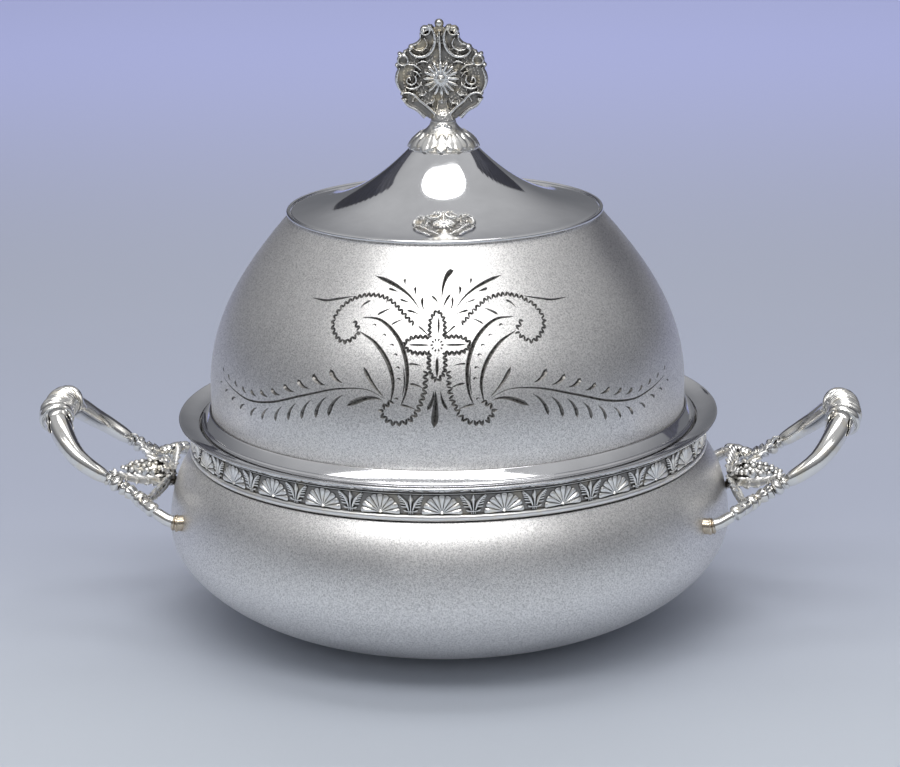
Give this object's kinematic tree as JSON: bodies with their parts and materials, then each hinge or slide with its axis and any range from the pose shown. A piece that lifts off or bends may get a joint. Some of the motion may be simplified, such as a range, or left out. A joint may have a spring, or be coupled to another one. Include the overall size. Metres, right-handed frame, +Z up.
{
  "type": "covered butter dish",
  "caption": "Footed silver butter dish with a bellied bowl, lift-off domed cover with finial, pierced ice drainer, shell and lily border and upswept cast side handles.",
  "frame": {"origin": "centre of the foot ring on the table, which is the bottom centre of the bounding box", "axes": "+Z up along the axis of the bowl and cover; +X to the right from handle to handle; the engraved front faces -Y"},
  "size_m": [0.2722, 0.1858, 0.1997],
  "materials": {
    "satin_silver": "satin frosted silver plate with a fine mottled grain",
    "polished_silver": "mirror polished silver plate",
    "cast_silver": "polished casting with dark recesses and warm worn edges",
    "oxidised_silver": "die-rolled border with a darkened ground and bright relief",
    "brass": "base metal and solder showing warm through worn plate"
  },
  "bodies": {
    "dish": {"bowl_body": "satin_silver", "foot_ring": "satin_silver", "border_band": "oxidised_silver", "flared_rim": "polished_silver", "seat_collar": "polished_silver", "left_handle_front_arm": "cast_silver", "left_handle_rear_arm": "cast_silver", "left_reeded_sleeve": "cast_silver", "left_front_mount_collar": "brass", "left_rear_mount_collar": "brass", "left_leaf_bracket": "cast_silver", "left_berry_cluster": "cast_silver", "right_handle_front_arm": "cast_silver", "right_handle_rear_arm": "cast_silver", "right_reeded_sleeve": "cast_silver", "right_front_mount_collar": "brass", "right_rear_mount_collar": "brass", "right_leaf_bracket": "cast_silver", "right_berry_cluster": "cast_silver"},
    "cover": {"cover_dome": "satin_silver", "cover_moulding": "polished_silver", "cover_cap": "polished_silver", "cap_bead": "polished_silver", "finial": "cast_silver", "finial_foot": "cast_silver", "finial_stud": "brass", "finial_washer": "brass", "finial_nut": "brass"},
    "drainer": {"drainer_plate": "polished_silver"}
  },
  "joints": [
    {"name": "cover_lift", "type": "slide", "parent": "dish", "child": "cover", "axis": [0, 0, 1], "range_m": [0, 0.12]},
    {"name": "drainer_lift", "type": "slide", "parent": "dish", "child": "drainer", "axis": [0, 0, 1], "range_m": [0, 0.021]}
  ]
}
